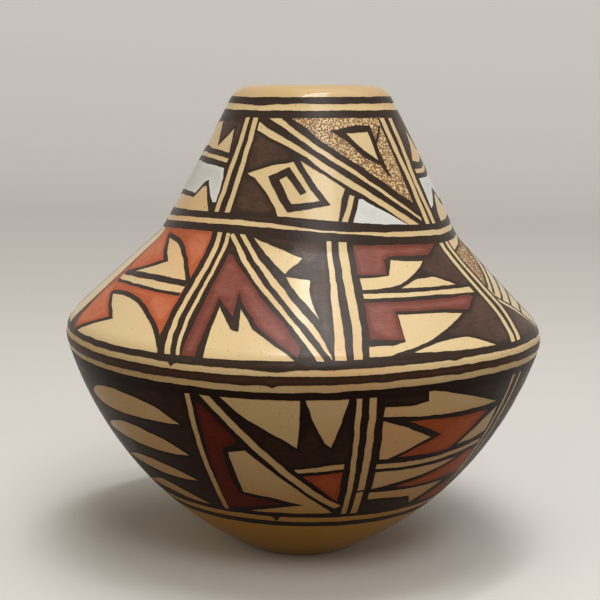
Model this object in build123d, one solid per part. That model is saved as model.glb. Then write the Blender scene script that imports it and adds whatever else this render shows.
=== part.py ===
from build123d import *
import os

# A hand-coiled pueblo jar: a base pressed in a shallow dish, then ropes of clay laid ring on ring,
# each lapped onto the one below and scraped smooth. Sizes are millimetres, and the origin is the
# middle of the foot, with the jar's axis along +Z.

# Corners of the outside wall, which the roundings then soften
FOOT_RADIUS = 10.8
KEEL_RADIUS = 50.7
KEEL_HEIGHT = 48.6
NECK_RADIUS = 31.2
NECK_HEIGHT = 67.6
LIP_RADIUS = 15.4
JAR_HEIGHT = 98.4

# How far the lower wall swells past a straight line from foot to keel
LOWER_WALL_BULGE = 7.0

# Thickness of the clay
WALL = 4.8
FLOOR = 6.0

# Roundings left by the scraper and the polishing stone
FOOT_ROUND = 5.0
KEEL_ROUND = 6.0
KEEL_ROUND_INSIDE = 1.5
NECK_ROUND = 10.0
LIP_ROUND = 4.8
MOUTH_ROUND = 1.2
FLOOR_ROUND = 12.0

# How far up the outside the pressed base comes, how far the neck root coil reaches each way from
# the neck's corner, how far down the rim coil comes, and how many equal coils lie between them
BASE_REACH = 20.0
NECK_COIL_REACH = 4.5
RIM_COIL_REACH = 7.5
LOWER_COILS = 6
SHOULDER_COILS = 2
NECK_COILS = 3

# How far each coil laps down behind the one below it
SEAM_LAP = 2.0


def inside_corner(before, corner, after):
    """The corner of the inside wall that lies one wall thickness in from a corner of the outside."""
    first = (corner - before).normalized().rotate(Axis.Z, 90)
    second = (after - corner).normalized().rotate(Axis.Z, 90)
    return corner + (first + second) * (WALL / (1 + first.dot(second)))


# Outside wall from the foot up, with radius as x and height as y
foot = Vector(FOOT_RADIUS, 0)
keel = Vector(KEEL_RADIUS, KEEL_HEIGHT)
neck = Vector(NECK_RADIUS, NECK_HEIGHT)
lip = Vector(LIP_RADIUS, JAR_HEIGHT)
lower_wall = SagittaArc(foot, keel, -LOWER_WALL_BULGE)
shoulder = Line(keel, neck)
neck_wall = Line(neck, lip)

# Inside wall, the same three stretches one wall thickness in
floor_edge = Vector(FOOT_RADIUS, FLOOR)
keel_inside = inside_corner(keel - lower_wall % 1, keel, neck)
neck_inside = inside_corner(keel, neck, lip)
mouth = Vector(LIP_RADIUS - WALL * neck_wall.length / (JAR_HEIGHT - NECK_HEIGHT), JAR_HEIGHT)

# The whole wall as one cross-section, from the axis out, with its corners rounded
foot_centre = Vector(0, 0)
floor_centre = Vector(0, FLOOR)
wall = make_face(
    [
        Line(foot_centre, foot),
        lower_wall,
        shoulder,
        neck_wall,
        Line(lip, mouth),
        Line(mouth, neck_inside),
        Line(neck_inside, keel_inside),
        RadiusArc(keel_inside, floor_edge, lower_wall.radius - WALL),
        Line(floor_edge, floor_centre),
        Line(floor_centre, foot_centre),
    ]
)
roundings = [
    (foot, FOOT_ROUND),
    (keel, KEEL_ROUND),
    (neck, NECK_ROUND),
    (lip, LIP_ROUND),
    (mouth, MOUTH_ROUND),
    (neck_inside, NECK_ROUND + WALL),
    (keel_inside, KEEL_ROUND_INSIDE),
    (floor_edge, FLOOR_ROUND),
]
for corner, radius in roundings:
    wall = fillet(wall.vertices().sort_by_distance(corner)[0], radius)


def even_seams(stretch, first, last, coils):
    """The lapped seams of equal coils along one stretch of wall, as lines that run out one wall
    thickness past each face: outer end, inner end."""
    seams = []
    for number in range(coils + 1):
        distance = first + (stretch.length - first - last) * number / coils
        outer = stretch.position_at(distance, PositionMode.LENGTH)
        up = stretch.tangent_at(distance, PositionMode.LENGTH)
        across = up.rotate(Axis.Z, 90) * WALL - up * SEAM_LAP
        seams.append((outer - across, outer + across * 2))
    return seams


# At the keel the wall turns in, so the seam there runs straight from corner to corner
keel_seam = (keel * 2 - keel_inside, keel_inside * 2 - keel)
seams = (
    even_seams(lower_wall, BASE_REACH, 0, LOWER_COILS)[:-1]
    + [keel_seam]
    + even_seams(shoulder, 0, NECK_COIL_REACH, SHOULDER_COILS)[1:]
    + even_seams(neck_wall, NECK_COIL_REACH, RIM_COIL_REACH, NECK_COILS)
)
names = (
    ["base"]
    + [f"lower_coil_{number + 1}" for number in range(LOWER_COILS)]
    + [f"shoulder_coil_{number + 1}" for number in range(SHOULDER_COILS)]
    + ["neck_root_coil"]
    + [f"neck_coil_{number + 1}" for number in range(NECK_COILS)]
    + ["rim_coil"]
)

# The part of the cross-section that each coil takes: all below the first seam, then from seam to
# seam, then all above the last
first_outer, first_inner = seams[0]
last_outer, last_inner = seams[-1]
below_foot = -WALL
above_lip = JAR_HEIGHT + WALL
regions = [[(0, below_foot), (first_outer.X, below_foot), first_outer, first_inner, (0, first_inner.Y)]]
for (low_outer, low_inner), (high_outer, high_inner) in zip(seams, seams[1:]):
    regions.append([low_outer, high_outer, high_inner, low_inner])
regions.append([last_outer, (last_outer.X, above_lip), (0, above_lip), (0, last_inner.Y), last_inner])

os.makedirs("parts", exist_ok=True)
for name, region in zip(names, regions):
    section = wall & make_face(Polyline(*region, close=True))
    export_step(revolve(Plane.XZ * section, Axis.Z), f"parts/{name}.step")
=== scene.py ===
import math

import bpy
import numpy as np
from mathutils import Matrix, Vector, kdtree, noise
from mathutils.geometry import delaunay_2d_cdt, intersect_line_line_2d


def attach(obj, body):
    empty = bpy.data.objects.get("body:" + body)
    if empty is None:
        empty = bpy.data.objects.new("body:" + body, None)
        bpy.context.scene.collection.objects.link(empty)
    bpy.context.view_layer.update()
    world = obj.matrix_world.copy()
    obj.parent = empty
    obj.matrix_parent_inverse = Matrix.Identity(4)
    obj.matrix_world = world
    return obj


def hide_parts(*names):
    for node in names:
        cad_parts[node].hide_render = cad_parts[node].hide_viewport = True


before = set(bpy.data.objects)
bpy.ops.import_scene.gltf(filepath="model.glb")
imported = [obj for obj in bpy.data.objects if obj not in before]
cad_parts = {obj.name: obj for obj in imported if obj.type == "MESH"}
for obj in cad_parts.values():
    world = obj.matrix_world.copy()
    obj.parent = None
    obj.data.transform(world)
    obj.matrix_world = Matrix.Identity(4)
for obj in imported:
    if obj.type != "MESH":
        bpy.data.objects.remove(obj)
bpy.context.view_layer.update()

# Clay wall
# One wall of fine buff clay: a base pressed in a dish, then thirteen rolled coils lapped ring on ring,
# scraped smooth, covered with cream slip and rubbed to a shine with a stone. Sizes are millimetres.
MM = 0.001
FOOT = Vector((10.8, 0.0))
KEEL = Vector((50.7, 48.6))
NECK = Vector((31.2, 67.6))
LIP = Vector((15.4, 98.4))
LOWER_WALL_BULGE = 7.0
WALL = 4.8
FLOOR = 6.0

# Roundings left by the scraper and the polishing stone
FOOT_ROUND = 5.0
KEEL_ROUND = 6.0
KEEL_ROUND_INSIDE = 1.5
NECK_ROUND = 10.0
LIP_ROUND = 4.8
MOUTH_ROUND = 1.2
FLOOR_ROUND = 12.0

# How far the base, neck root coil and rim coil reach, how many equal coils lie between them, and how far
# each laps down behind the one below
BASE_REACH = 20.0
NECK_COIL_REACH = 4.5
RIM_COIL_REACH = 7.5
LOWER_COILS = 6
SHOULDER_COILS = 2
NECK_COILS = 3
SEAM_LAP = 2.0

# The potter's hand: the neck leans and the rim tilts, in degrees, each between two heights, the rim
# drifts off the axis, and the wall waves
NECK_LEAN = 0.9
NECK_LEAN_HEIGHTS = (50.0, 75.0)
RIM_TILT = 1.2
RIM_TILT_HEIGHTS = (86.0, 97.0)
RIM_DRIFT = -0.4
HAND_WAVE = 0.12
HAND_WAVE_PER_MM = 0.035

# How finely the wall is turned, and the least angle that shows as an edge
SECTION_STEP = 0.7
LATHE_STEPS = 240
RING_WELD = 1e-4
SHARP_ANGLE = 35


def left_of(direction):
    return Vector((-direction.y, direction.x))


def inside_corner(before, corner, after):
    """The corner of the inside wall, one wall thickness in from a corner of the outside."""
    first = left_of((corner - before).normalized())
    second = left_of((after - corner).normalized())
    return corner + (first + second) * (WALL / (1 + first.dot(second)))


def straight(start, end):
    steps = max(1, round((end - start).length / SECTION_STEP))
    return [start.lerp(end, step / steps) for step in range(steps + 1)]


def bowed(start, end, bulge):
    """Points on the arc from start to end that swells to the right of the way, or left if negative."""
    half = (end - start) / 2
    radius = (half.length_squared + bulge * bulge) / (2 * bulge)
    centre = start + half + left_of(half.normalized()) * (radius - bulge)
    sweep = 2 * math.asin(half.length / radius)
    steps = max(1, round(abs(radius * sweep) / SECTION_STEP))
    spoke = start - centre
    points = []
    for step in range(steps + 1):
        turn = sweep * step / steps
        across = Vector((spoke.x * math.cos(turn) - spoke.y * math.sin(turn),
                         spoke.x * math.sin(turn) + spoke.y * math.cos(turn)))
        points.append(centre + across)
    return points


def cut_back(points, reach):
    """The line of points without the last stretch of the given length."""
    kept = list(points)
    while (kept[-1] - kept[-2]).length < reach:
        reach -= (kept[-1] - kept[-2]).length
        kept.pop()
    kept[-1] = kept[-1].lerp(kept[-2], reach / (kept[-1] - kept[-2]).length)
    return kept


def rounded(first, second, radius):
    """Two lines of points that meet at a corner, joined by an arc of the given radius."""
    turn = (first[-1] - first[-2]).angle(second[1] - second[0])
    reach = radius * math.tan(turn / 2)
    first = cut_back(first, reach)
    second = cut_back(second[::-1], reach)[::-1]
    way_in = (first[-1] - first[-2]).normalized()
    way_out = (second[1] - second[0]).normalized()
    ahead = first[-1] + way_in * reach * 3
    back = second[0] - way_out * reach * 3
    corner = intersect_line_line_2d(first[-1], ahead, back, second[0])
    weight = math.cos(way_in.angle(way_out) / 2)
    steps = max(4, round(radius * turn / SECTION_STEP))
    arc = []
    for step in range(1, steps):
        after = step / steps
        before = 1 - after
        middle = 2 * weight * before * after
        arc.append((first[-1] * before ** 2 + corner * middle + second[0] * after ** 2)
                   / (before ** 2 + middle + after ** 2))
    return first + arc + second


# The corners and stretches of the outside, then those of the inside, one wall thickness in
lower_chord = (KEEL - FOOT).length
lower_radius = (lower_chord ** 2 / 4 + LOWER_WALL_BULGE ** 2) / (2 * LOWER_WALL_BULGE)
lower_wall = bowed(FOOT, KEEL, LOWER_WALL_BULGE)
shoulder_wall = straight(KEEL, NECK)
neck_wall = straight(NECK, LIP)
neck_way = (LIP - NECK).normalized()
mouth = LIP - Vector((WALL / neck_way.y, 0))
keel_inside = inside_corner(lower_wall[-2], KEEL, NECK)
neck_inside = inside_corner(KEEL, NECK, LIP)
floor_edge = Vector((FOOT.x, FLOOR))
inside_radius = lower_radius - WALL
inside_half = (keel_inside - floor_edge).length / 2
inside_bulge = inside_radius - math.sqrt(inside_radius ** 2 - inside_half ** 2)

# The wall's whole cross-section from the middle of the foot round to the middle of the floor
wall = straight(Vector((0, 0)), FOOT)
for stretch, radius in [
    (lower_wall, FOOT_ROUND),
    (shoulder_wall, KEEL_ROUND),
    (neck_wall, NECK_ROUND),
    (straight(LIP, mouth), LIP_ROUND),
    (straight(mouth, neck_inside), MOUTH_ROUND),
    (straight(neck_inside, keel_inside), NECK_ROUND + WALL),
    (bowed(keel_inside, floor_edge, -inside_bulge), KEEL_ROUND_INSIDE),
    (straight(floor_edge, Vector((0, FLOOR))), FLOOR_ROUND),
]:
    wall = rounded(wall, stretch, radius)
foot_flat = max(point.x for point in wall if point.y == 0)
lip_crest = max(range(len(wall)), key=lambda place: (round(wall[place].y, 3), wall[place].x))
outside_places = range(lip_crest)
inside_places = range(lip_crest, len(wall))


def nearest(target, places):
    return min(places, key=lambda place: (wall[place] - target).length)


def even_seams(stretch, first, last, coils):
    """Where the lapped seams of equal coils cross a stretch of wall, leaving out any at its corners:
    outside point, inside point."""
    length = sum((after - before).length for before, after in zip(stretch, stretch[1:]))
    seams = []
    for number in range(coils + 1):
        left_over = length - first - (length - first - last) * number / coils
        if SECTION_STEP < left_over < length - SECTION_STEP:
            kept = cut_back(stretch, left_over)
            up = (kept[-1] - kept[-2]).normalized()
            inner = kept[-1] + left_of(up) * WALL - up * SEAM_LAP
            seams.append((nearest(kept[-1], outside_places), nearest(inner, inside_places)))
    return seams


seams = (even_seams(lower_wall, BASE_REACH, 0, LOWER_COILS)
         + [(nearest(KEEL, outside_places), nearest(keel_inside, inside_places))]
         + even_seams(shoulder_wall, 0, NECK_COIL_REACH, SHOULDER_COILS)
         + even_seams(neck_wall, NECK_COIL_REACH, RIM_COIL_REACH, NECK_COILS))


def numbered(name, count):
    return [f"{name}_{number + 1}" for number in range(count)]


ring_names = ["base", *numbered("lower_coil", LOWER_COILS), *numbered("shoulder_coil", SHOULDER_COILS),
              "neck_root_coil", *numbered("neck_coil", NECK_COILS), "rim_coil"]
ring_sections = [wall[:seams[0][0] + 1] + wall[seams[0][1]:]]
for (low_outer, low_inner), (high_outer, high_inner) in zip(seams, seams[1:]):
    ring_sections.append(wall[low_outer:high_outer + 1] + wall[high_inner:low_inner + 1])
ring_sections.append(wall[seams[-1][0]:seams[-1][1] + 1])


def add(tree, kind, inputs=None, **settings):
    """Adds one node to a tree, with its settings and its inputs linked or set; gives its outputs."""
    made = tree.nodes.new(kind)
    for setting, value in settings.items():
        setattr(made, setting, value)
    for socket, given in (inputs or {}).items():
        if isinstance(given, bpy.types.NodeSocket):
            tree.links.new(given, made.inputs[socket])
        else:
            made.inputs[socket].default_value = given
    return made.outputs


def new_tree(name, kind, inputs, outputs):
    """A node tree with named inputs and outputs; gives the tree and its input sockets."""
    tree = bpy.data.node_groups.new(name, kind)
    for side, sockets in [("INPUT", inputs), ("OUTPUT", outputs)]:
        for socket, socket_kind in sockets.items():
            tree.interface.new_socket(socket, in_out=side, socket_type="NodeSocket" + socket_kind)
    return tree, add(tree, "NodeGroupInput")


def reckon(tree, operation, *values):
    """A sum on numbers in a node tree."""
    return add(tree, "ShaderNodeMath", dict(enumerate(values)), operation=operation)[0]


def reckon_vectors(tree, operation, *values):
    """A sum on vectors in a node tree."""
    return add(tree, "ShaderNodeVectorMath", dict(enumerate(values)), operation=operation)[0]


def vector(tree, x=0.0, y=0.0, z=0.0):
    """A vector put together from its numbers in a node tree."""
    return add(tree, "ShaderNodeCombineXYZ", {0: x, 1: y, 2: z})[0]


def scaled(tree, way, factor):
    """A vector times a number in a node tree."""
    return add(tree, "ShaderNodeVectorMath", {0: way, "Scale": factor}, operation="SCALE")[0]


def graded(tree, value, start, end, first, last, ease="LINEAR"):
    """A number that goes from first to last while a value goes from start to end."""
    return add(tree, "ShaderNodeMapRange", {0: value, 1: start, 2: end, 3: first, 4: last},
               interpolation_type=ease)[0]


def mottle(tree, place, scale, detail, **more):
    """Soft uneven patches, so many to a unit of length; gives the texture's outputs."""
    return add(tree, "ShaderNodeTexNoise", {"Vector": place, "Scale": scale, "Detail": detail, **more})


MOTTLE_MIDDLE = (0.5, 0.5, 0.5)


def hand_shape(tree, geometry):
    """Adds the potter's hand to a shape: slight waves in the wall, the neck's lean and the rim's tilt;
    then turns it to metres."""
    place = add(tree, "GeometryNodeInputPosition")["Position"]
    split = add(tree, "ShaderNodeSeparateXYZ", {0: place})
    lean = graded(tree, split["Z"], *NECK_LEAN_HEIGHTS, 0.0, NECK_LEAN, "SMOOTHSTEP")
    rim = graded(tree, split["Z"], *RIM_TILT_HEIGHTS, 0.0, 1.0, "SMOOTHSTEP")
    sideways = reckon(tree, "MULTIPLY_ADD", rim, RIM_DRIFT, lean)
    tilt = reckon(tree, "MULTIPLY", split["X"], math.tan(math.radians(RIM_TILT)))
    moved = vector(tree, x=sideways, z=reckon(tree, "MULTIPLY", tilt, rim))
    wave = mottle(tree, place, HAND_WAVE_PER_MM, 1.0)["Color"]
    centred = reckon_vectors(tree, "SUBTRACT", wave, MOTTLE_MIDDLE)
    spread = reckon_vectors(tree, "MULTIPLY", centred, (HAND_WAVE, HAND_WAVE, 0.0))
    offset = reckon_vectors(tree, "ADD", spread, moved)
    shaped = add(tree, "GeometryNodeSetPosition", {"Geometry": geometry, "Offset": offset})[0]
    return add(tree, "GeometryNodeTransform", {"Geometry": shaped, "Scale": (MM, MM, MM)})[0]


def close_tree(tree, geometry, material):
    """Ends a shape tree: smooth shading, plain mesh, material."""
    smooth = add(tree, "GeometryNodeSetShadeSmooth", {"Geometry": geometry})[0]
    plain = add(tree, "GeometryNodeRealizeInstances", {"Geometry": smooth})[0]
    finished = add(tree, "GeometryNodeSetMaterial", {"Geometry": plain, "Material": material})[0]
    add(tree, "NodeGroupOutput", {0: finished})


ring_lathe, given = new_tree(
    "ring_lathe", "GeometryNodeTree",
    {"Geometry": "Geometry", "Steps": "Int", "Swing Radius": "Float", "Material": "Material"},
    {"Geometry": "Geometry"})
tree = ring_lathe
section = add(tree, "GeometryNodeMeshToCurve", {0: given["Geometry"]})[0]
inward = reckon(tree, "MULTIPLY", given["Swing Radius"], -1.0)
hung = add(tree, "GeometryNodeTransform", {"Geometry": section, "Scale": (1.0, -1.0, 1.0),
                                           "Translation": vector(tree, inward)})[0]
swing = add(tree, "GeometryNodeCurvePrimitiveCircle",
            {"Resolution": given["Steps"], "Radius": given["Swing Radius"]})[0]
turned = add(tree, "GeometryNodeCurveToMesh", {"Curve": swing, "Profile Curve": hung})[0]
joined = add(tree, "GeometryNodeMergeByDistance", {"Geometry": turned, "Distance": RING_WELD})[0]
close_tree(tree, hand_shape(tree, joined), given["Material"])


def shape_piece(name, mesh, *steps):
    """Runs a mesh through shape trees, each with its named inputs, and leaves one plain clean piece."""
    piece = bpy.data.objects.new(name, mesh)
    bpy.context.scene.collection.objects.link(piece)
    for tree, inputs in steps:
        modifier = piece.modifiers.new(tree.name, "NODES")
        modifier.node_group = tree
        for socket in tree.interface.items_tree:
            if socket.in_out == "INPUT" and socket.name in inputs:
                modifier[socket.identifier] = inputs[socket.name]
    shaped = bpy.data.meshes.new_from_object(piece.evaluated_get(bpy.context.evaluated_depsgraph_get()))
    piece.modifiers.clear()
    piece.data = shaped
    shaped.name = name
    bpy.data.meshes.remove(mesh)
    shaped.set_sharp_from_angle(angle=math.radians(SHARP_ANGLE))
    return piece


def seen_colour(red, green, blue):
    """A colour written as it is seen, 0 to 255, as the linear values a shader takes."""
    levels = [level / 255 for level in (red, green, blue)]
    linear = [level / 12.92 if level < 0.04045 else ((level + 0.055) / 1.055) ** 2.4 for level in levels]
    return (*linear, 1.0)


# What the stone leaves, as marks to a metre: fine rub marks round the jar, patches of uneven shine and
# broad soft facets
RUB_MARKS_PER_M = (260.0, 260.0, 2600.0)
PATCHES_PER_M = 140.0
FACETS_PER_M = 130.0
FACET_HEIGHT = 6.0
POLISH_DEPTH = 0.00002
POLISH_STRENGTH = 0.6

stone_polish, given = new_tree(
    "stone_polish", "ShaderNodeTree",
    {"Roughness": "Float"}, {"Roughness": "Float", "Height": "Float"})
tree = stone_polish
place = add(tree, "ShaderNodeTexCoord")["Object"]
along = reckon_vectors(tree, "MULTIPLY", place, RUB_MARKS_PER_M)
rub_marks = mottle(tree, along, 1.0, 3.0)["Fac"]
patches = mottle(tree, place, PATCHES_PER_M, 2.0)["Fac"]
uneven = reckon(tree, "ADD", rub_marks, patches)
rougher = graded(tree, uneven, 0.6, 1.4, -0.07, 0.09)
rough = reckon(tree, "ADD", given["Roughness"], rougher)
facets = mottle(tree, place, FACETS_PER_M, 1.0)["Fac"]
rubbed = reckon(tree, "MULTIPLY_ADD", facets, FACET_HEIGHT, uneven)
add(tree, "NodeGroupOutput", {0: rough, 1: rubbed})


def new_material(name):
    """A material with an empty tree; gives the material, its tree."""
    material = bpy.data.materials.new(name)
    material.use_nodes = True
    material.node_tree.nodes.clear()
    return material, material.node_tree


def mix(tree, factor, first, second):
    """Two colours mixed by a factor."""
    return add(tree, "ShaderNodeMix", {0: factor, 6: first, 7: second}, data_type="RGBA")[2]


def polished(tree, colour, roughness, shine, extra_height=0.0):
    """Ends a material: its colour under the stone's polish."""
    polish = add(tree, "ShaderNodeGroup", {"Roughness": roughness}, node_tree=stone_polish)
    height = reckon(tree, "ADD", polish["Height"], extra_height)
    normal = add(tree, "ShaderNodeBump",
                 {"Height": height, "Distance": POLISH_DEPTH, "Strength": POLISH_STRENGTH})[0]
    surface = add(tree, "ShaderNodeBsdfPrincipled",
                  {"Base Color": colour, "Roughness": polish["Roughness"], "Normal": normal,
                   "Specular IOR Level": shine})[0]
    add(tree, "ShaderNodeOutputMaterial", {"Surface": surface})


SLIP_CREAM = seen_colour(223, 198, 149)
SLIP_GOLD = seen_colour(214, 160, 30)
SLIP_BLUSH = seen_colour(221, 164, 108)
SLIP_ROUGHNESS = 0.18
LIP_WORN = seen_colour(199, 168, 118)
SPECK = seen_colour(150, 110, 70)
BLUSHES_PER_M = 28.0
FLECKS_PER_M = 1500.0

# Heights in metres between which the gold of the base fades out and the wear of the lip comes in
GOLD_FADES = (0.007, 0.026)
WEAR_COMES = (0.0935, 0.0975)


def slipped_clay(name, shine):
    """Clay under cream slip: golden low down where the fire caught it, worn on the lip, flecked all over."""
    material, tree = new_material(name)
    place = add(tree, "ShaderNodeTexCoord")["Object"]
    height = add(tree, "ShaderNodeSeparateXYZ", {0: place})["Z"]
    blush = mottle(tree, place, BLUSHES_PER_M, 3.0, Roughness=0.55)["Fac"]
    flecks = mottle(tree, place, FLECKS_PER_M, 1.0)["Fac"]
    slip = SLIP_CREAM
    for share, colour in [
        (graded(tree, blush, 0.5, 0.72, 0.0, 0.6), SLIP_BLUSH),
        (graded(tree, height, *GOLD_FADES, 1.0, 0.0, "SMOOTHSTEP"), SLIP_GOLD),
        (graded(tree, height, *WEAR_COMES, 0.0, 1.0, "SMOOTHSTEP"), LIP_WORN),
        (graded(tree, flecks, 0.68, 0.78, 0.0, 0.5), SPECK),
    ]:
        slip = mix(tree, share, slip, colour)
    polished(tree, slip, SLIP_ROUGHNESS, shine)
    return material


# The shoulder and the neck took more of the stone's shine than the lower wall
clay = slipped_clay("buff_clay", 0.36)
lower_clay = slipped_clay("lower_clay", 0.05)

for name, points in zip(ring_names, ring_sections):
    outline = bpy.data.meshes.new(name + "_section")
    links = [(number, number + 1) for number in range(len(points) - 1)]
    if points[0].x > 0:
        links.append((len(points) - 1, 0))
    outline.from_pydata([(point.x, point.y, 0.0) for point in points], links, [])
    material = lower_clay if name.startswith(("base", "lower_coil")) else clay
    ring = shape_piece(name + "_clay", outline,
                       (ring_lathe, {"Steps": LATHE_STEPS, "Swing Radius": KEEL.x, "Material": material}))
    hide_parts(name)
    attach(ring, "root")

# Rim line
# A single dark line of mineral and plant paint below the bare lip, drawn with a chewed yucca brush
# while the jar was turned by hand. It stands a hair above the slip.
PAINT_RISE = 0.05
PAINT_BED = 0.15
SKIN_WELD = 0.002

# The picture is drawn in degrees round, from the cut on the left, and millimetres up the wall from the
# foot's flat. It comes again after half a turn
CUT = -100.0
HALF_TURN = 180.0
WALL_TOP = 130.0

# How unsteady the hand and the brush are, over what length, how much quicker that changes upwards, and
# the seed that makes it the same each time
HAND_WOBBLE = 0.16
HAND_WOBBLE_LENGTH = 7.0
BRUSH_WOBBLE = 0.09
BRUSH_WOBBLE_LENGTH = 1.9
WOBBLE_UPWARDS = 2.5
WOBBLE_SEED = 4

# How finely the paint is cut: along an edge, in a curve and at a bend
EDGE_STEP = 0.6
EDGE_SLACK = 1.1
EDGE_WELD = 1e-5
CURVE_STEPS = 6
BEND_LIMIT = 0.4

# Loose points inside a field, closer where the keel turns: millimetres up, degrees round, millimetres
# clear of an edge
GRID = (2.2, 2.5, 0.45)
KEEL_GRID = (0.5, 0.625, 0.3)
KEEL_TURN = (60.5, 70.0)

outside = wall[:lip_crest + 1]
steps_up = [(after - before).length for before, after in zip(outside, outside[1:])]
run_up = np.cumsum([0.0] + steps_up) - foot_flat
radius_up = np.array([point.x for point in outside])
noise.seed_set(WOBBLE_SEED)


def mm_per_degree(up):
    """How wide one degree round the jar is, at a distance up the wall."""
    return math.radians(np.interp(up, run_up, radius_up))


def eased(before, start, end, after, part):
    """A number part of the way from start to end, on a smooth run through the four."""
    return 0.5 * (2 * start + (end - before) * part + (2 * before - 5 * start + 4 * end - after) * part ** 2
                  + (3 * start - before - 3 * end + after) * part ** 3)


def smooth(*points):
    """A smooth hand-drawn line through points, each given as degrees round and millimetres up."""
    line = []
    ends = [points[0], *points, points[-1]]
    for four in zip(ends, ends[1:], ends[2:], ends[3:]):
        for step in range(CURVE_STEPS):
            line.append(tuple(eased(*numbers, step / CURVE_STEPS) for numbers in zip(*four)))
    return line + [points[-1]]


def brushed(width, *points):
    """The outline of one brush stroke along a line of points. The width in millimetres is one number,
    or several that it passes through on the way."""
    widths = np.atleast_1d(width)
    ways = []
    for (angle, up), (next_angle, next_up) in zip(points, points[1:]):
        ways.append(Vector(((next_angle - angle) * mm_per_degree(up), next_up - up)).normalized())
    left, right = [], []
    for number, (angle, up) in enumerate(points):
        before = ways[max(number - 1, 0)]
        after = ways[min(number, len(ways) - 1)]
        progress = number / (len(points) - 1) * (len(widths) - 1)
        here = np.interp(progress, range(len(widths)), widths)
        side = (left_of(before) + left_of(after)) * (here / 2 / max(BEND_LIMIT, 1 + before.dot(after)))
        left.append((angle + side.x / mm_per_degree(up), up + side.y))
        right.append((angle - side.x / mm_per_degree(up), up - side.y))
    return left + right[::-1]


def swaying(middle, sway, towards):
    """A line round the jar that rises and falls twice a turn, highest at the given angle."""
    return lambda angle: middle + sway * math.cos(2 * math.radians(angle - towards))


def raised(line, rise):
    """A line round the jar that keeps a distance above another one."""
    return lambda angle: line(angle) + rise


def dripping(line, *drips):
    """A line round the jar where the paint ran down in places: angle, half width in degrees, drop."""
    def run(angle):
        up = line(angle)
        for at, half_width, drop in drips:
            away = (angle - at + HALF_TURN / 2) % HALF_TURN - HALF_TURN / 2
            up -= drop * math.exp(-(away / half_width) ** 2)
        return up
    return run


def hand_drawn(angle, up):
    """Where the unsteady brush really puts a point of the drawing."""
    radius = np.interp(up, run_up, radius_up)
    twice = 2 * math.radians(angle)
    place = Vector((radius * math.cos(twice), radius * math.sin(twice), WOBBLE_UPWARDS * up))
    sway = (noise.noise_vector(place / HAND_WOBBLE_LENGTH) * HAND_WOBBLE
            + noise.noise_vector(place / BRUSH_WOBBLE_LENGTH) * BRUSH_WOBBLE)
    return angle + sway.x / mm_per_degree(up), up + sway.y


def inside_of(outline, points):
    """Which of the points lie inside an outline."""
    inside = np.zeros(len(points), bool)
    reach = np.array(outline)
    near = np.flatnonzero(((points >= reach.min(axis=0)) & (points <= reach.max(axis=0))).all(axis=1))
    x, y = points[near].T
    for (x0, y0), (x1, y1) in zip(outline, outline[1:] + outline[:1]):
        if y0 != y1:
            inside[near] ^= ((y0 > y) != (y1 > y)) & (x < (x1 - x0) * (y - y0) / (y1 - y0) + x0)
    return inside


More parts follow.
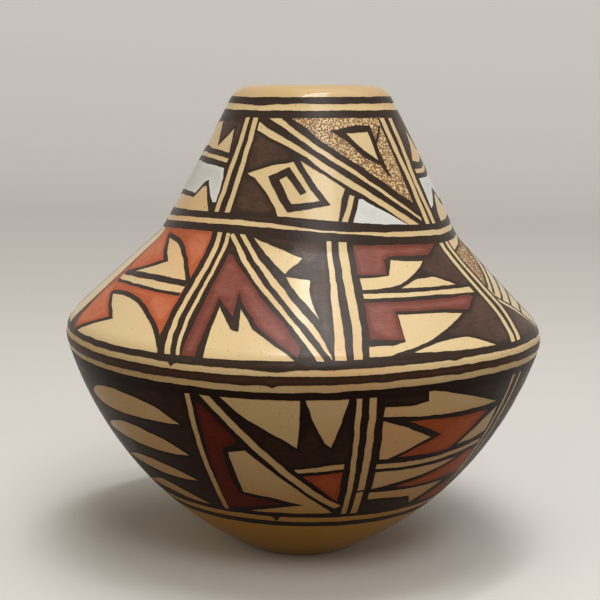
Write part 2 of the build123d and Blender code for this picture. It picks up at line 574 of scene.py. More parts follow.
def stencils(ground, low, high, shapes=(), borders=()):
    """Half a band of the picture cut flat, one mesh for each paint: degrees round, millimetres up, and
    millimetres in from the nearest edge. Shapes cover the ground paint and each other in turn, a shape
    painted bare leaves the slip to show, and borders of the ground paint, given by their inner lines,
    close over the shapes' ends."""
    right_end = CUT + HALF_TURN
    scale = mm_per_degree((low(0) + high(0)) / 2)
    drawn, edges = [], []

    def draw(line):
        laid = []
        for (angle, up), (next_angle, next_up) in zip(line, line[1:]):
            span = math.hypot((next_angle - angle) * scale, next_up - up)
            steps = max(1, math.ceil(span / EDGE_STEP))
            for step in range(steps):
                part = step / steps
                laid.append(hand_drawn(angle + (next_angle - angle) * part, up + (next_up - up) * part))
        laid.append(hand_drawn(*line[-1]))
        edges.extend((number, number + 1) for number in range(len(drawn), len(drawn) + len(laid) - 1))
        drawn.extend(laid)
        return laid

    rounds = np.linspace(CUT, right_end, math.ceil(EDGE_SLACK * HALF_TURN * scale / EDGE_STEP) + 1).tolist()
    low_edge = draw([(angle, low(angle)) for angle in rounds])
    high_edge = draw([(angle, high(angle)) for angle in rounds])
    left_side, right_side = [draw([(end, low(end)), (end, high(end))]) for end in (CUT, right_end)]
    band = low_edge + right_side + high_edge[::-1] + left_side[::-1]
    layers = [(ground, band)]
    for paint, outline in shapes:
        for turn in (-HALF_TURN, 0, HALF_TURN):
            moved = [(angle + turn, up) for angle, up in [*outline, outline[0]]]
            if max(moved)[0] > CUT and min(moved)[0] < right_end:
                layers.append((paint, draw(moved)))
    for edge, line in zip((low_edge, high_edge), borders):
        layers.append((ground, edge + draw([(angle, line(angle)) for angle in rounds])[::-1]))

    # Loose points are added where no edge is near, and the whole is cut into triangles along the edges
    near = kdtree.KDTree(len(drawn))
    for number, (angle, up) in enumerate(drawn):
        near.insert((angle * scale, up, 0), number)
    near.balance()
    points = list(drawn)
    for (up_step, angle_step, clear), (start, end) in [
        (GRID, (0, KEEL_TURN[0])), (KEEL_GRID, KEEL_TURN), (GRID, (KEEL_TURN[1], WALL_TOP)),
    ]:
        for up in np.arange(start, end, up_step):
            for angle in np.arange(CUT + angle_step, right_end, angle_step):
                if low(angle) < up < high(angle) and near.find((angle * scale, up, 0))[2] > clear:
                    points.append((angle, up))
    flat_points = [Vector((angle * scale, up)) for angle, up in points]
    found = delaunay_2d_cdt(flat_points, edges, [], 0, EDGE_WELD, False)
    flat = np.array([(point.x / scale, point.y) for point in found[0]])
    triangles = np.array(found[2])

    # Each triangle takes the paint that covers its middle last
    middles = flat[triangles].mean(axis=1)
    paints = np.full(len(triangles), "bare", dtype=object)
    for paint, outline in layers:
        paints[inside_of(outline, middles)] = paint
    paints[~inside_of(band, middles)] = "bare"
    cut = {}
    for paint in sorted(set(paints) - {"bare"}):
        used, corners = np.unique(triangles[paints == paint], return_inverse=True)
        inset = [near.find((angle * scale, up, 0))[2] for angle, up in flat[used]]
        cut[paint] = bpy.data.meshes.new(paint)
        cut[paint].from_pydata(np.column_stack([flat[used], inset]).tolist(), [],
                               corners.reshape(-1, 3).tolist())
    return cut


wall_line_mesh = bpy.data.meshes.new("wall_line")
wall_line_mesh.from_pydata([(point.x, point.y, 0.0) for point in outside],
                           [(number, number + 1) for number in range(len(outside) - 1)], [])
wall_line = bpy.data.objects.new("wall_line", wall_line_mesh)

paint_wrap, given = new_tree(
    "paint_wrap", "GeometryNodeTree",
    {"Geometry": "Geometry", "Wall Line": "Object", "Foot Flat": "Float", "Rise": "Float", "Bed": "Float",
     "Material": "Material"},
    {"Geometry": "Geometry"})
tree = paint_wrap
flat_place = add(tree, "GeometryNodeInputPosition")[0]
flat = add(tree, "ShaderNodeSeparateXYZ", {0: flat_place})
laid = add(tree, "GeometryNodeStoreNamedAttribute",
           {"Geometry": given["Geometry"], "Name": "wall", "Value": flat_place},
           data_type="FLOAT2", domain="CORNER")[0]
laid = add(tree, "GeometryNodeStoreNamedAttribute",
           {"Geometry": laid, "Name": "inset", "Value": flat["Z"]}, data_type="FLOAT", domain="POINT")[0]
second_half = add(tree, "GeometryNodeTransform",
                  {"Geometry": laid, "Translation": (HALF_TURN, 0.0, 0.0)})[0]
both = add(tree, "GeometryNodeJoinGeometry", {0: laid})[0]
tree.links.new(second_half, both.node.inputs[0])

# The wall's own line gives each point its place and the way straight out of the wall there
line_mesh = add(tree, "GeometryNodeObjectInfo", {"Object": given["Wall Line"]})["Geometry"]
line = add(tree, "GeometryNodeMeshToCurve", {0: line_mesh})[0]
length = reckon(tree, "ADD", flat["Y"], given["Foot Flat"])
sampled = add(tree, "GeometryNodeSampleCurve", {"Curves": line, "Length": length}, mode="LENGTH")
tangent = add(tree, "ShaderNodeSeparateXYZ", {0: sampled["Tangent"]})
profile = add(tree, "ShaderNodeSeparateXYZ", {0: sampled["Position"]})
turn = reckon(tree, "RADIANS", flat["X"])
sine = reckon(tree, "SINE", turn)
away = reckon(tree, "MULTIPLY", reckon(tree, "COSINE", turn), -1.0)
outward = vector(tree, reckon(tree, "MULTIPLY", tangent["Y"], sine),
                 reckon(tree, "MULTIPLY", tangent["Y"], away),
                 reckon(tree, "MULTIPLY", tangent["X"], -1.0))
on_wall = vector(tree, reckon(tree, "MULTIPLY", profile["X"], sine),
                 reckon(tree, "MULTIPLY", profile["X"], away), profile["Y"])
sunk = scaled(tree, outward, reckon(tree, "MULTIPLY", given["Bed"], -1.0))
bedded = reckon_vectors(tree, "ADD", on_wall, sunk)
aimed = add(tree, "GeometryNodeStoreNamedAttribute",
            {"Geometry": both, "Name": "outward", "Value": outward},
            data_type="FLOAT_VECTOR", domain="POINT")[0]
wrapped = add(tree, "GeometryNodeSetPosition", {"Geometry": aimed, "Position": bedded})[0]
under = add(tree, "GeometryNodeMergeByDistance", {"Geometry": wrapped, "Distance": SKIN_WELD})[0]
out_of_wall = add(tree, "GeometryNodeInputNamedAttribute", {"Name": "outward"},
                  data_type="FLOAT_VECTOR")["Attribute"]
risen = add(tree, "GeometryNodeExtrudeMesh",
            {"Mesh": under, "Offset": out_of_wall, "Individual": False,
             "Offset Scale": reckon(tree, "ADD", given["Rise"], given["Bed"])})[0]
shell = add(tree, "GeometryNodeJoinGeometry", {0: risen})[0]
tree.links.new(add(tree, "GeometryNodeFlipFaces", {0: under})[0], shell.node.inputs[0])
closed = add(tree, "GeometryNodeMergeByDistance", {"Geometry": shell, "Distance": SKIN_WELD})[0]
clean = add(tree, "GeometryNodeRemoveAttribute", {"Geometry": closed, "Name": "outward"})[0]
close_tree(tree, hand_shape(tree, clean), given["Material"])

# Streaks to a degree round and a millimetre up, pools and grain to a metre, and how far in from an edge
# the paint goes from dense to thin
STREAKS = (0.3, 1.6, 1.0)
POOLS_PER_M = 200.0
GRAIN_PER_M = 2400.0
GRAIN_HEIGHT = 3.0
DENSE_EDGE = (0.35, 1.1)

brush_marks, given = new_tree(
    "brush_marks", "ShaderNodeTree",
    {"Thick": "Color", "Thin": "Color", "Streaks": "Float"}, {"Color": "Color", "Height": "Float"})
tree = brush_marks
on_wall = add(tree, "ShaderNodeUVMap", uv_map="wall")["UV"]
pulled = reckon_vectors(tree, "MULTIPLY", on_wall, STREAKS)
streak_field = mottle(tree, pulled, 1.0, 4.0, Roughness=0.6, Distortion=0.4)["Fac"]
place = add(tree, "ShaderNodeTexCoord")["Object"]
pool_field = mottle(tree, place, POOLS_PER_M, 4.0)["Fac"]
together = reckon(tree, "ADD", streak_field, pool_field)
thinness = graded(tree, together, 0.7, 1.3, 0.2, 1.0)
inset = add(tree, "ShaderNodeAttribute", attribute_name="inset")["Fac"]
filled_in = graded(tree, inset, *DENSE_EDGE, 0.1, 1.0)
thinned = reckon(tree, "MULTIPLY", thinness, filled_in)
shown = reckon(tree, "MULTIPLY", thinned, given["Streaks"])
grain = mottle(tree, place, GRAIN_PER_M, 1.0)["Fac"]
add(tree, "NodeGroupOutput",
    {0: mix(tree, shown, given["Thick"], given["Thin"]),
     1: reckon(tree, "MULTIPLY_ADD", grain, GRAIN_HEIGHT, streak_field)})


def paint_material(name, thick, thin, streaks, roughness, shine):
    """Mineral paint laid with a brush: dense along outlines and where it pooled, thin in the streaks of
    a filled field."""
    material, tree = new_material(name)
    marks = add(tree, "ShaderNodeGroup", {"Thick": seen_colour(*thick), "Thin": seen_colour(*thin),
                                          "Streaks": streaks}, node_tree=brush_marks)
    polished(tree, marks["Color"], roughness, shine, marks["Height"])
    return material


# Each paint: slot, colour where it is thick, colour where it is thin, streaks, roughness and shine. The
# three paints used only low on the wall are the dark, maroon and red paints again, with less shine and
# with darker colours that are painted shade on the lower wall.
PAINTS = {}
for paint, slot, *look in [
    ("dark", "dark_paint", (44, 31, 21), (92, 66, 52), 0.9, 0.34, 0.24),
    ("umber", "dark_paint", (52, 31, 19), (98, 67, 47), 0.9, 0.36, 0.1),
    ("black", "dark_paint", (33, 21, 16), (64, 43, 31), 0.8, 0.35, 0.04),
    ("brown", "dark_paint", (138, 101, 70), (174, 134, 96), 0.8, 0.42, 0.2),
    ("maroon", "red_paint", (110, 52, 41), (152, 94, 80), 0.85, 0.36, 0.26),
    ("oxblood", "red_paint", (88, 33, 22), (112, 50, 36), 0.8, 0.36, 0.04),
    ("red", "red_paint", (176, 89, 56), (205, 126, 90), 0.9, 0.40, 0.14),
    ("brick", "red_paint", (166, 80, 46), (192, 108, 70), 0.9, 0.40, 0.04),
    ("white", "white_paint", (222, 223, 219), (194, 195, 190), 0.6, 0.5, 0.2),
]:
    PAINTS[paint] = (paint_material(paint + "_paint", *look), slot)


def lay_paint(band, cut, rise=PAINT_RISE, before=()):
    """Wraps the flat stencils of one band onto the wall, a thin closed skin for each paint."""
    for paint, mesh in cut.items():
        material, slot = PAINTS[paint]
        wrap = {"Wall Line": wall_line, "Foot Flat": foot_flat, "Rise": rise, "Bed": PAINT_BED,
                "Material": material}
        skin = shape_piece(f"{band}_{paint}_paint", mesh, *before, (paint_wrap, wrap))
        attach(skin, "root")


rim_low = dripping(swaying(123.2, 0.05, 30), (-37, 9, 0.4))
lay_paint("rim", stencils("dark", rim_low, swaying(124.75, 0.05, 30)))

# Neck picture
# Below the rim line a band of dark paint, brushed in round figures of bare slip, holds four panels: a
# spiral fret under two long slanting lines, and a stepped panel with clouds in white clay paint; each
# comes twice round the neck.
picture = []
NECK_LOW = swaying(97.0, 1.15, -28)
NECK_HIGH = swaying(121.75, 0.1, 30)


def figure(paint, *outline):
    """Adds one painted shape to the picture in hand."""
    picture.append((paint, outline))


def stroke(paint, width, *points):
    """Adds one brush stroke along a smooth line to the picture in hand."""
    figure(paint, *brushed(width, *smooth(*points)))


# The pairs of upright lines that part the panels
for width, *points in [
    (1.2, (-42.9, 121), (-41.7, 110), (-41, 97)),
    (1.2, (-36.4, 121), (-35.5, 110), (-35.4, 97)),
    (1.5, (48.8, 121), (51.2, 112), (52.7, 107), (53.9, 96)),
    (1.5, (58.4, 121), (57.8, 112), (57.1, 107), (59, 96)),
]:
    stroke("bare", width, *points)

# The two long slanting stripes
for upper, lower in [
    ([(-21, 120.8), (-10, 117.8), (5, 113.7), (25, 107.9), (50.7, 98.7)],
     [(-29, 120.5), (-15, 117.7), (5, 112.45), (25, 106.8), (50.2, 98)]),
    ([(-33, 119.2), (-15, 115.8), (-3, 113.1), (15, 108.1), (35, 101.7), (50, 96.6)],
     [(-33, 117.4), (-15, 114.3), (-3, 111.8), (10, 107.7), (25, 103.35), (45, 96.4)]),
]:
    figure("bare", *smooth(*upper), *smooth(*lower)[::-1])

# The stippled corner with its outlined triangle
figure("stipple", (-13.5, 120.5), (44.8, 120.5), (47.4, 110), (49, 101.9),
       *smooth((45, 103), (25, 109.8), (5, 115.4), (-3, 118)))
figure("dark", (10.3, 117.6), (26, 118.7), (36.6, 118.7), (37.6, 113.2), (40.2, 107.8), (38.4, 108),
       (36.2, 110.2), (28, 111.7), (20, 114.9), (13, 117))
figure("bare", (19.3, 117), (33.6, 117.4), (35.6, 111.3), (28, 113.4))
figure("dark", *brushed(0.5, (37.2, 115), (44, 118.4)))

# The fret
figure("bare", (-31.3, 107.9), (-20, 109.8), (-8.9, 110.8), (-5.5, 111), (5, 108.4), (15, 105.3),
       (12.9, 103.2), (10.3, 97), (-11.2, 97.5), (-15, 101.4), (-20, 104.4), (-26.5, 107))
figure("dark", *brushed((1.2, 1.35, 1.6, 1.7, 1.5, 1.35), (-9, 112), (5.9, 102.3), (-8.6, 101),
       (-17.4, 107.2), (-10.9, 108.7), (-3.2, 104.2)))

# The slanted bar and the white corner
figure("bare", (17, 104.2), (18.9, 103.8), (13.5, 97), (11, 97))
figure("white", (20.6, 103), (22, 103.1), (43, 97), (15.8, 97))

# The stepped panel: pointed clouds, a line, then a white patch over a bare one
figure("bare", (-117, 110.8), (-110, 114.5), (-104.5, 117.8), (-97, 112.8), (-88, 118), (-78, 118.6),
       (-70, 119), (-61, 113.2), (-55, 115.6), (-51.6, 117.4), (-49.6, 115), (-47.6, 112), (-60, 112.5),
       (-78, 113), (-95, 111.6), (-108, 110.3))
stroke("bare", 0.9, (-118.5, 108.4), (-104, 108.8), (-90, 110.3), (-78, 111.1), (-60, 110.8), (-46, 110.4))
figure("white", (-118, 106.8), (-103, 107.2), (-90, 108.6), (-78, 109.5), (-46.5, 108.7), (-44.6, 106.5),
       (-43.3, 101.3), (-45.2, 101.2), (-49, 102.8), (-54.5, 105.8), (-57, 105.2), (-61, 102.6),
       (-78, 102.8), (-98, 101.6), (-101, 102.2), (-106, 104.6), (-110, 103.2), (-115, 100.9),
       (-118.3, 100.4))
figure("bare", (-78, 101.7), (-61, 101.7), (-57, 104.1), (-55, 104.6), (-53, 103.9), (-45.5, 99.1),
       (-70, 98.7), (-100, 97.8), (-114, 97.3), (-113.5, 99.3), (-108.5, 102.6), (-106, 103.4),
       (-103, 102.4), (-99, 100.4))

# The stipple: crowded dabs of a ragged brush end, longer one way than the other
DAB_SPACING = 0.42
DAB_CROWD = 12.0
DAB_RADIUS = 0.5
DAB_LEAST = (0.7, 0.4, 1.0)
DAB_MOST = (1.3, 0.9, 1.0)
DAB_RISE = 0.03
DAB_SIDES = 7
DAB_SEED = 4
DAB_RAGGED = 0.16
DAB_RAGGED_PER_MM = 2.2

stipple_dabs, given = new_tree(
    "stipple_dabs", "GeometryNodeTree",
    {"Geometry": "Geometry", "Degree": "Float", "Spacing": "Float", "Size": "Float", "Ragged": "Float",
     "Sides": "Int", "Seed": "Int"},
    {"Geometry": "Geometry"})
tree = stipple_dabs
place = add(tree, "GeometryNodeInputPosition")[0]
to_mm = vector(tree, given["Degree"], 1.0)
level = reckon_vectors(tree, "MULTIPLY", place, to_mm)
field = add(tree, "GeometryNodeSetPosition", {"Geometry": given["Geometry"], "Position": level})[0]
spots = add(tree, "GeometryNodeDistributePointsOnFaces",
            {"Mesh": field, "Distance Min": given["Spacing"], "Density Max": DAB_CROWD,
             "Seed": given["Seed"]}, distribute_method="POISSON")["Points"]
dab = add(tree, "GeometryNodeMeshCircle", {"Vertices": given["Sides"], "Radius": DAB_RADIUS},
          fill_type="NGON")[0]
turn = add(tree, "FunctionNodeRandomValue", {2: 0.0, 3: math.tau, "Seed": given["Seed"]},
           data_type="FLOAT")[1]
spread = add(tree, "FunctionNodeRandomValue", {0: DAB_LEAST, 1: DAB_MOST, "Seed": given["Seed"]},
             data_type="FLOAT_VECTOR")[0]
dabs = add(tree, "GeometryNodeInstanceOnPoints",
           {"Points": spots, "Instance": dab, "Scale": scaled(tree, spread, given["Size"]),
            "Rotation": vector(tree, z=turn)})[0]
loose = add(tree, "GeometryNodeRealizeInstances", {"Geometry": dabs})[0]
ragged = mottle(tree, place, DAB_RAGGED_PER_MM, 1.0)["Color"]
centred = reckon_vectors(tree, "SUBTRACT", ragged, MOTTLE_MIDDLE)
pulled = scaled(tree, centred, given["Ragged"])
frayed = reckon_vectors(tree, "ADD", place, pulled)
to_degrees = vector(tree, reckon(tree, "DIVIDE", 1.0, given["Degree"]), 1.0)
round_again = reckon_vectors(tree, "MULTIPLY", frayed, to_degrees)
add(tree, "NodeGroupOutput",
    {0: add(tree, "GeometryNodeSetPosition", {"Geometry": loose, "Position": round_again})[0]})


def lay_stipple(band, cut, up, size):
    """Fills the stippled fields of a band, about a height up the wall, with brown dabs of the brush."""
    dabbing = {"Degree": mm_per_degree(up), "Spacing": DAB_SPACING, "Size": size, "Ragged": DAB_RAGGED,
               "Sides": DAB_SIDES, "Seed": DAB_SEED}
    lay_paint(band, {"brown": cut.pop("stipple")}, DAB_RISE, [(stipple_dabs, dabbing)])


neck_cut = stencils("dark", dripping(NECK_LOW, (8, 22, 0.7)), NECK_HIGH, picture,
                    (raised(NECK_LOW, 1.3), raised(NECK_HIGH, -1.6)))
lay_stipple("neck", neck_cut, up=113, size=0.64)
lay_paint("neck", neck_cut)

# Shoulder picture
# The broad slope carries the main figures in dark, red and maroon paint, brushed on in four panels twice
# round: feathers on red, a zigzag with slanting lines, stepped wings, and a fan of long feathers beside
# a stippled corner.
picture = []
SHOULDER_LOW = swaying(66.0, 0.65, 40)
SHOULDER_HIGH = swaying(95.85, 1.15, -28)

# Where the lines round the keel sag at the front, and how far to each side
FRONT_SAG = (-2, 26)

# The feather panel
figure("red", (-73.5, 94.2), (-55, 96), (-39.3, 96), (-37, 90), (-36.2, 80), (-34.4, 69.5), (-33.8, 66),
       (-68.5, 66), (-71.5, 70.5), (-73, 76))
for arc, notch in [
    ([(-66, 93.1), (-60, 92.6), (-53, 91.8), (-47, 89.7), (-42, 87), (-36.6, 83.2)],
     [(-69, 82.3), (-61, 84.4), (-52.6, 87.1), (-60, 90.2), (-66, 93.1)]),
    ([(-66, 77), (-60, 77.6), (-54, 77.5), (-48, 76.5), (-42.2, 74.4), (-36.4, 71.2), (-31.6, 66.5)],
     [(-69, 66), (-60, 69.7), (-54.5, 71.8), (-60, 74.2), (-66, 77)]),
]:
    figure("bare", *smooth(*arc), *notch[:-1])
    stroke("dark", 1.0, *arc)
    figure("dark", *brushed(0.9, *notch))
for paint, width, *points in [
    ("dark", (1.2, 1.3, 1.5, 1.5), (-70.5, 82), (-60, 82.6), (-50, 82.8), (-36.5, 82.5)),
    ("bare", (1.35, 1.5, 1.8, 1.7), (-70.5, 80.75), (-60, 81.1), (-50, 81.25), (-36.5, 81.1)),
    ("dark", 0.75, (-70.5, 79.75), (-60, 80.05), (-50, 80.05), (-36.5, 79.95)),
    ("dark", (1.3, 1.3, 1.3, 1.1, 0.9), (-38.2, 96), (-36, 88), (-35.2, 80), (-33.5, 71), (-32.1, 66)),
]:
    stroke(paint, width, *points)

# The pair of upright lines after the feathers
for width, *points in [
    (1.2, (-35.8, 96), (-34.1, 90), (-33.4, 82), (-32.8, 75), (-31.5, 70), (-30, 66)),
    (0.85, (-31.7, 96), (-30.8, 90), (-30.1, 82), (-29.6, 75), (-28.6, 70), (-27.5, 66)),
]:
    stroke("bare", width, *points)

# The zigzag panel
figure("maroon", (-27.9, 90.6), (-26.3, 90.6), (-20, 86.7), (-15, 83.3), (-10, 79.3), (-5, 75.5),
       (-0.6, 69.8), (-1, 67.8), (-5, 70.5), (-11, 74.3), (-16.5, 79.4), (-18.8, 82), (-18, 76.2),
       (-22, 79), (-23.8, 80.3), (-23.6, 75), (-23.4, 65), (-26.6, 65), (-27.2, 75), (-27.8, 85))
figure("bare", (-21.5, 65.5), (-22.6, 78.2), (-17, 73.2), (-15.3, 72.9), (-16.6, 78.2), (-12, 73.7),
       (-5, 69.6), (1, 65.5))
stroke("bare", (0.9, 1.02, 1.09, 1.0, 0.88, 1.08, 1.26), (-30, 95.2), (-21.9, 90), (-14.8, 85), (-8.1, 80),
       (-2.55, 75), (1.8, 70), (4.7, 66))
stroke("bare", (0.9, 0.9, 1.35, 1.25, 1.3, 0.8, 0.1), (-26.5, 95.8), (-17.3, 90), (-10, 85), (-4.1, 80),
       (1.35, 75), (4.9, 70), (6.2, 67.6))
figure("bare", (-21, 94.8), (-10, 92.7), (-2.1, 90.7), *smooth((-3.2, 89.6), (-5.6, 88.1), (-6.7, 86.8)),
       (-13, 90.4))
figure("bare", (-6.2, 86.2), (1, 85.4), *smooth((0.8, 83.2), (2, 79.6), (3.7, 76.3)), (0, 80.2),
       (-5, 84.4))
figure("dark", (-0.9, 87.7), (2.6, 87.3), (2.7, 90.4))

# The pair of upright lines in the middle
stroke("bare", (0.75, 1.3, 1.75, 2.2), (6.9, 96), (7.7, 86), (8.05, 78), (8.2, 72), (7.9, 66))
stroke("bare", 1.65, (12, 96), (12.2, 85), (12.6, 75), (11.5, 66))

# The stepped wings
figure("maroon", (15.8, 93.7), (53.5, 93.3), (45.5, 90.5), (33, 91), (28.3, 90.9), (26.2, 90), (25, 86.7),
       (15.6, 86.8))
figure("bare", (16, 85.9), (25.7, 86.4), (28.7, 90), (41.7, 89.3),
       *smooth((35, 86.4), (29, 84.4), (22, 83.4), (16, 83.1)))
figure("bare", *smooth((28.2, 83.3), (34, 84.9), (39, 85.3), (43, 85.2), (50, 82.9)), (40, 83))
figure("bare", (15.9, 82.3), (40, 82.2), (55.8, 81.7), (56.4, 80.3), (50, 80.6), (38, 81.2), (16, 81.1))
figure("maroon", (15.7, 80.2), (52, 80), (54, 79.5), (48, 76.8), (38, 77.7), (23.8, 77.9), (23.8, 71.5),
       (15.4, 71.9))
figure("bare", (24.3, 77.2), (36, 77), (44.8, 76.2), *smooth((36, 72.9), (28, 70.2), (19, 68.2)),
       (14.2, 68), (14.9, 70.4), (21, 70.4), (23.8, 71))
figure("bare", *smooth((24.8, 68.6), (32, 70.3), (38, 70.8), (42.5, 70.6), (49.3, 68)), (38, 68.1),
       (30, 68.4))

# The fan of feathers: a stippled corner, long quills that end at a dark corner, then the lines over both
figure("bare", (65.3, 96.5), (64.9, 88), (66.1, 80.5), (66.6, 76.4), (72, 73.2), (77, 69.6), (80, 66),
       (105, 65), (105.6, 80), (105.4, 96.5))
figure("stipple", (64.9, 90), (65.2, 86), (66.4, 80.6), (70, 82.2), (76, 85), (82, 88), (88, 90.6),
       (88, 92.4), (78, 91.6), (70, 90.8))
for width, *points in [
    (0.6, (65, 90.4), (70, 90.9), (78, 91.8), (88, 92.8)),
    (0.8, (66.4, 80.4), (70, 82), (76, 84.8), (82, 87.8), (88, 90.4)),
    (0.7, (67.4, 78.6), (74, 81.4), (81, 83.8), (88, 85.6)),
    (0.7, (69.5, 76.6), (77, 79), (83, 80.4), (88, 81.2)),
    (0.7, (72.5, 74.6), (80, 76.4), (88, 77.4)),
    (0.7, (76, 72), (82, 72.8), (88, 73.2)),
    (0.6, (88, 96), (88.4, 80), (88, 65)),
    (0.5, (66.5, 77.9), (70.3, 75.9), (74.5, 73.3), (79, 69.4), (82.2, 66)),
]:
    stroke("dark", width, *points)
for points in [
    ((58.3, 95.5), (58, 88), (59.6, 80), (60.2, 75), (58.4, 70), (55.6, 66)),
    ((63, 95.5), (62.5, 88), (63.8, 80), (64.4, 75), (61.8, 70), (58.4, 66)),
]:
    stroke("bare", 1.5, *points)

shoulder_runs = dripping(SHOULDER_LOW, (*FRONT_SAG, 0.5), (-6, 3.2, 0.45), (-28.8, 0.45, 0.8),
                         (35, 1.5, 0.35))
shoulder_cut = stencils("dark", shoulder_runs, SHOULDER_HIGH, picture,
                        (raised(SHOULDER_LOW, 1.2), raised(SHOULDER_HIGH, -1.7)))
lay_stipple("shoulder", shoulder_cut, up=88, size=0.7)
lay_paint("shoulder", shoulder_cut)

# Keel line
# One line of umber paint follows the sharpest turn of the wall, between two lines of bare slip. It was
# brushed on while the jar was turned, so it waves, and here and there the paint ran.
keel_low = dripping(swaying(63.1, 0.75, 40), (*FRONT_SAG, 0.4), (-12.5, 1.8, 0.25), (-6.3, 0.8, 0.5),
                    (35.5, 1.5, 0.25))
keel_high = dripping(swaying(64.75, 0.6, 40), (*FRONT_SAG, 0.4))
lay_paint("keel", stencils("umber", keel_low, keel_high))

# Lower picture
# Under the keel the last broad band: rows of leaves, a slanting line between dark triangles, and stepped red
# wings. Its paints are the dark, maroon and red ones again, less shiny and darkened as painted shade on the
# lower wall. The darkened dark paint is the ground, brushed in round figures of bare slip.
picture = []
LOWER_LOW = swaying(27.15, 0.1, 0)
LOWER_HIGH = dripping(swaying(61.85, 0.7, 40), (*FRONT_SAG, 0.7))

# The leaves, one set pointing right and one pointing left
LEAF_MIDDLE = -71
for leaf in [
    [(-29.6, 51.8), (-36, 55.1), (-45, 56.6), (-51, 56.9), (-58, 56.1), (-63.5, 53.8), (-60, 52.1),
     (-50, 51.4), (-40, 51.6)],
    [(-30.2, 44), (-36, 46.9), (-45, 48.7), (-51, 49), (-58, 47.9), (-63.5, 45.8), (-58, 44.7), (-48, 44),
     (-38, 43.6)],
    [(-31, 36.7), (-38, 38.9), (-45, 40), (-51, 40.3), (-58, 39.4), (-63.5, 37.9), (-58, 37.6), (-48, 36.7),
     (-38, 36.2)],
    [(-32, 28.7), (-38, 31), (-45, 33), (-50, 33.6), (-57, 32.3), (-63.5, 30.4), (-58, 30.3), (-50, 30.2),
     (-40, 28.9)],
]:
    outline = smooth(*leaf, leaf[0])
    figure("bare", *outline)
    figure("bare", *[(2 * LEAF_MIDDLE - angle, up) for angle, up in outline])
stroke("bare", 1.15, (-25.7, 61), (-25.6, 45), (-25.4, 35), (-26, 27))

# The slanting line with its triangles
figure("oxblood", (-24, 57.5), (-22.6, 57.4), (-19, 53.5), (-15.6, 50), (-15.7, 49), (-19.6, 47.4),
       (-19.4, 41), (-18.4, 35), (-12, 33.5), (-5.5, 32.2), (-12, 31.2), (-18, 29.8), (-24.6, 29.3),
       (-23.7, 45))
figure("bare", (-18.2, 46.5), (-13.6, 47.4), (-9, 43.6), (-3, 38.8), (3, 34.4), (11, 29), (0, 28.8),
       (-17.5, 28.8), (-10, 30.3), (1.3, 32), (-10, 34.4), (-16.8, 35.3), (-17.4, 40))
stroke("bare", 1.55, (-23, 61), (-16.6, 54.3), (-10, 47.6), (-2, 40.4), (5, 35.2), (12.3, 31.2))
figure("bare", (-20, 61), (-0.2, 61), (-0.8, 48.7), (-6, 51.6), (-12, 54.8))
figure("bare", (0.7, 61), (10.2, 61), *smooth((9, 55), (7.2, 48.8)),
       *smooth((5.5, 50), (2.6, 55.3), (0.7, 60)))
figure("bare", (-1.6, 43.1), (11.3, 44.7), (11.3, 43.2), (-0.5, 42.1))
figure("brick", (0.6, 41.2), (11.1, 42.4), (11.7, 33.2))

# The pair of upright lines
figure("bare", *brushed(1.05, (12.1, 62), (13, 50), (14, 40), (15.3, 27)))
figure("bare", *brushed(1.4, (15.2, 62), (16.4, 50), (17.4, 40), (19, 27)))
figure("black", *brushed(0.5, (16.2, 36), (19.6, 36.4)))

# The stepped red wings
figure("bare", (18.4, 58), (25, 57.9), (29, 58.6), (28.5, 61), (36, 59.7), (45, 57.6), (53.5, 55.4),
       (40, 55.1), (30, 55.2), (18.4, 55.8))
figure("bare", (18.7, 54.9), (24, 53.4), (33.2, 49.8), (22.5, 45.2), (20, 45.3))
figure("brick", (25.3, 54.4), (40, 53.9), (50.5, 54), (44, 47.4), (41.5, 45.8), (34, 45.4), (25.3, 45.6),
       (36.2, 50.2))
figure("bare", (44.3, 46.4), (50, 51), (55.2, 54.2), (56, 48), (50, 46.8))
stroke("bare", 1.3, (19.9, 43.4), (30, 43.3), (38, 43.6), (47, 44.4), (56, 45.4))
figure("bare", (20.3, 41.9), (30, 41.8), (40, 42), (48, 42.6), *smooth((43, 40.7), (35, 38.9), (21, 36.7)))
figure("brick", *smooth((29, 36.7), (38, 38.4), (46, 41)), (52, 43.2), (56, 43.6), (56, 37), (45, 36.3),
       (35, 36))
figure("bare", (21, 35.6), (35, 35.2), (50, 35.3), (45, 32), (40.5, 29.4), (38.8, 31), (37.3, 32.3),
       (30, 32.9), (21.4, 33.2))
figure("brick", (45, 29), (50, 32.3), (55.5, 35), (56, 29))
figure("bare", *brushed(1.2, (57.6, 62), (57.6, 45), (58, 27)))
figure("bare", *brushed(1.2, (61.5, 62), (61.3, 45), (61.5, 27)))

lay_paint("lower", stencils("black", dripping(LOWER_LOW, (-8.2, 0.9, 1.9)), LOWER_HIGH, picture,
                            (raised(LOWER_LOW, 1.1), raised(LOWER_HIGH, -1.6))))

# Foot line
# The last line, in the lower band's dark paint darkened as painted shade, closes the picture above the
# bare golden base, brushed on like the others while the jar was turned.
lay_paint("foot", stencils("black", swaying(23.35, 0.1, 0), swaying(25.2, 0.1, 0)))

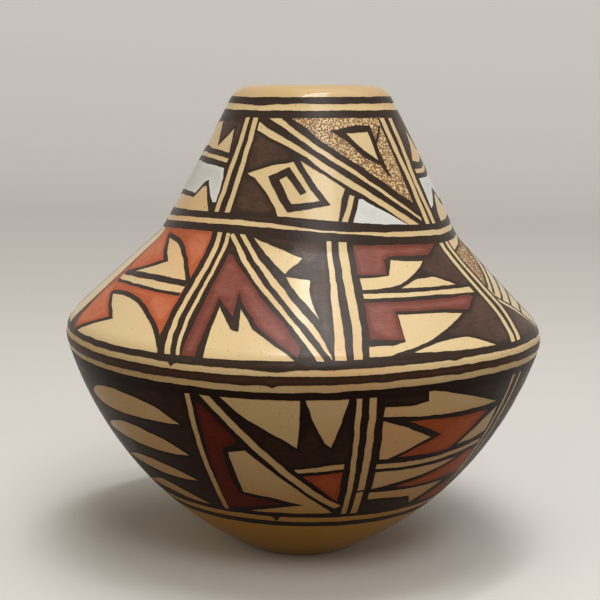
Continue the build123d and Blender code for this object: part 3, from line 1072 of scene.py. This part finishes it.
# Floor and backdrop
# A plain pale sheet of paper that lies under the jar and curves up behind it in one piece. It only shows
# the jar and isn't part of it. Sizes are metres.
SHEET_HALF_WIDTH = 1.6
SHEET_FRONT = -1.2
SHEET_BEND_START = 0.7
SHEET_BEND_RADIUS = 0.5
SHEET_BEND_STEPS = 16
SHEET_TOP = 1.8
line = [(SHEET_FRONT, 0.0), (SHEET_BEND_START, 0.0)]
for step in range(1, SHEET_BEND_STEPS + 1):
    turn = math.pi / 2 * step / SHEET_BEND_STEPS
    line.append((SHEET_BEND_START + SHEET_BEND_RADIUS * math.sin(turn),
                 SHEET_BEND_RADIUS * (1 - math.cos(turn))))
line.append((SHEET_BEND_START + SHEET_BEND_RADIUS, SHEET_TOP))
corners = [(side * SHEET_HALF_WIDTH, y, z) for y, z in line for side in (-1, 1)]
faces = [(2 * row, 2 * row + 1, 2 * row + 3, 2 * row + 2) for row in range(len(line) - 1)]
sheet_mesh = bpy.data.meshes.new("sheet")
sheet_mesh.from_pydata(corners, [], faces)
sheet_mesh.shade_smooth()
sheet = bpy.data.objects.new("sheet", sheet_mesh)
bpy.context.scene.collection.objects.link(sheet)

# The paper looks pale, and paler far from the jar, but sheds only a little warm light on it
PAPER_SEEN = seen_colour(224, 222, 218)
PAPER_SHEDS = seen_colour(100, 76, 50)
PAPER_ROUGHNESS = 0.9
PAPER_SHINE = 0.1
PALER_REACH = (0.35, 1.2)
PALER_GLOW = 0.25


def straight_look(tree):
    """One where a thing is looked at, mirrored or seen through, and nought where it only sheds light."""
    ray = add(tree, "ShaderNodeLightPath")
    mirrored = reckon(tree, "MAXIMUM", ray["Is Camera Ray"], ray["Is Glossy Ray"])
    return reckon(tree, "MAXIMUM", mirrored, ray["Is Transmission Ray"])


paper, tree = new_material("paper")
shown = straight_look(tree)
tone = mix(tree, shown, PAPER_SHEDS, PAPER_SEEN)
place = add(tree, "ShaderNodeTexCoord")["Object"]
away = add(tree, "ShaderNodeVectorMath", {0: place}, operation="LENGTH")["Value"]
glow = reckon(tree, "MULTIPLY", graded(tree, away, *PALER_REACH, 0.0, PALER_GLOW), shown)
surface = add(tree, "ShaderNodeBsdfPrincipled",
              {"Base Color": tone, "Roughness": PAPER_ROUGHNESS, "Emission Color": glow,
               "Emission Strength": 1.0, "Specular IOR Level": PAPER_SHINE})[0]
add(tree, "ShaderNodeOutputMaterial", {"Surface": surface})
sheet_mesh.materials.append(paper)

# Light
# A broad soft lamp overhead with two small skylights before it, whose shine shows on the polished
# slip, a front lamp, weak fills at both sides and a warm dim room all round.
ROOM_SEEN = seen_colour(196, 190, 182)
ROOM_SHEDS = (0.33, 0.3, 0.26, 1.0)
LAMP_AIM = Vector((0.0, 0.0, 0.06))
WHITE = (1.0, 1.0, 1.0)
WARM = (1.0, 0.84, 0.58)
room = bpy.data.worlds.new("room")
room.use_nodes = True
tree = room.node_tree
tree.nodes.clear()
walls = mix(tree, straight_look(tree), ROOM_SHEDS, ROOM_SEEN)
add(tree, "ShaderNodeOutputWorld", {"Surface": add(tree, "ShaderNodeBackground", {"Color": walls})[0]})
bpy.context.scene.world = room


def soft_lamp(name, place, size, power, tint=WHITE):
    """A lit panel, its width and depth given, that faces the middle of the jar."""
    lamp = bpy.data.lights.new(name, "AREA")
    lamp.shape = "RECTANGLE"
    lamp.size, lamp.size_y = size
    lamp.energy = power
    lamp.color = tint
    holder = bpy.data.objects.new(name, lamp)
    holder.location = place
    holder.rotation_euler = (LAMP_AIM - Vector(place)).to_track_quat("-Z", "Y").to_euler()
    bpy.context.scene.collection.objects.link(holder)


soft_lamp("overhead", (0.15, -0.03, 0.78), (0.9, 0.7), 2.15)
soft_lamp("back_skylight", (0.06, -0.065, 0.8), (0.24, 0.045), 1.0)
soft_lamp("front_skylight", (0.03, -0.23, 0.8), (0.3, 0.045), 1.2)
soft_lamp("front", (0.12, -0.6, 0.66), (0.3, 0.3), 1.55)
soft_lamp("left_fill", (-0.7, -0.5, 0.5), (0.5, 0.5), 0.7, WARM)
soft_lamp("right_fill", (0.65, -0.6, 0.3), (0.5, 0.5), 0.45)

# Camera
# It stands where the photo was taken from, a little above the lip, tipped down and rolled by some
# degrees. The picture's side and the jar's axis in it are in pixels of the photo.
CAMERA_PLACE = (0.0, -297.0, 100.94)
CAMERA_DIP = 9.159
CAMERA_ROLL = 1.3
FOCAL_PIXELS = 1408.9
PICTURE = 600
AXIS_IN_PICTURE = 304.05
NEAREST_SEEN = 0.01
camera_data = bpy.data.cameras.new("camera")
camera_data.sensor_width = 36.0
camera_data.lens = FOCAL_PIXELS / PICTURE * camera_data.sensor_width
camera_data.shift_x = -(AXIS_IN_PICTURE - PICTURE / 2) / PICTURE
camera_data.clip_start = NEAREST_SEEN
camera = bpy.data.objects.new("camera", camera_data)
camera.location = Vector(CAMERA_PLACE) * MM
camera.rotation_euler = (math.radians(90 - CAMERA_DIP), 0.0, 0.0)
camera.rotation_euler.rotate_axis("Z", math.radians(CAMERA_ROLL))
bpy.context.scene.collection.objects.link(camera)
bpy.context.scene.camera = camera
bpy.context.scene.view_settings.view_transform = "Standard"
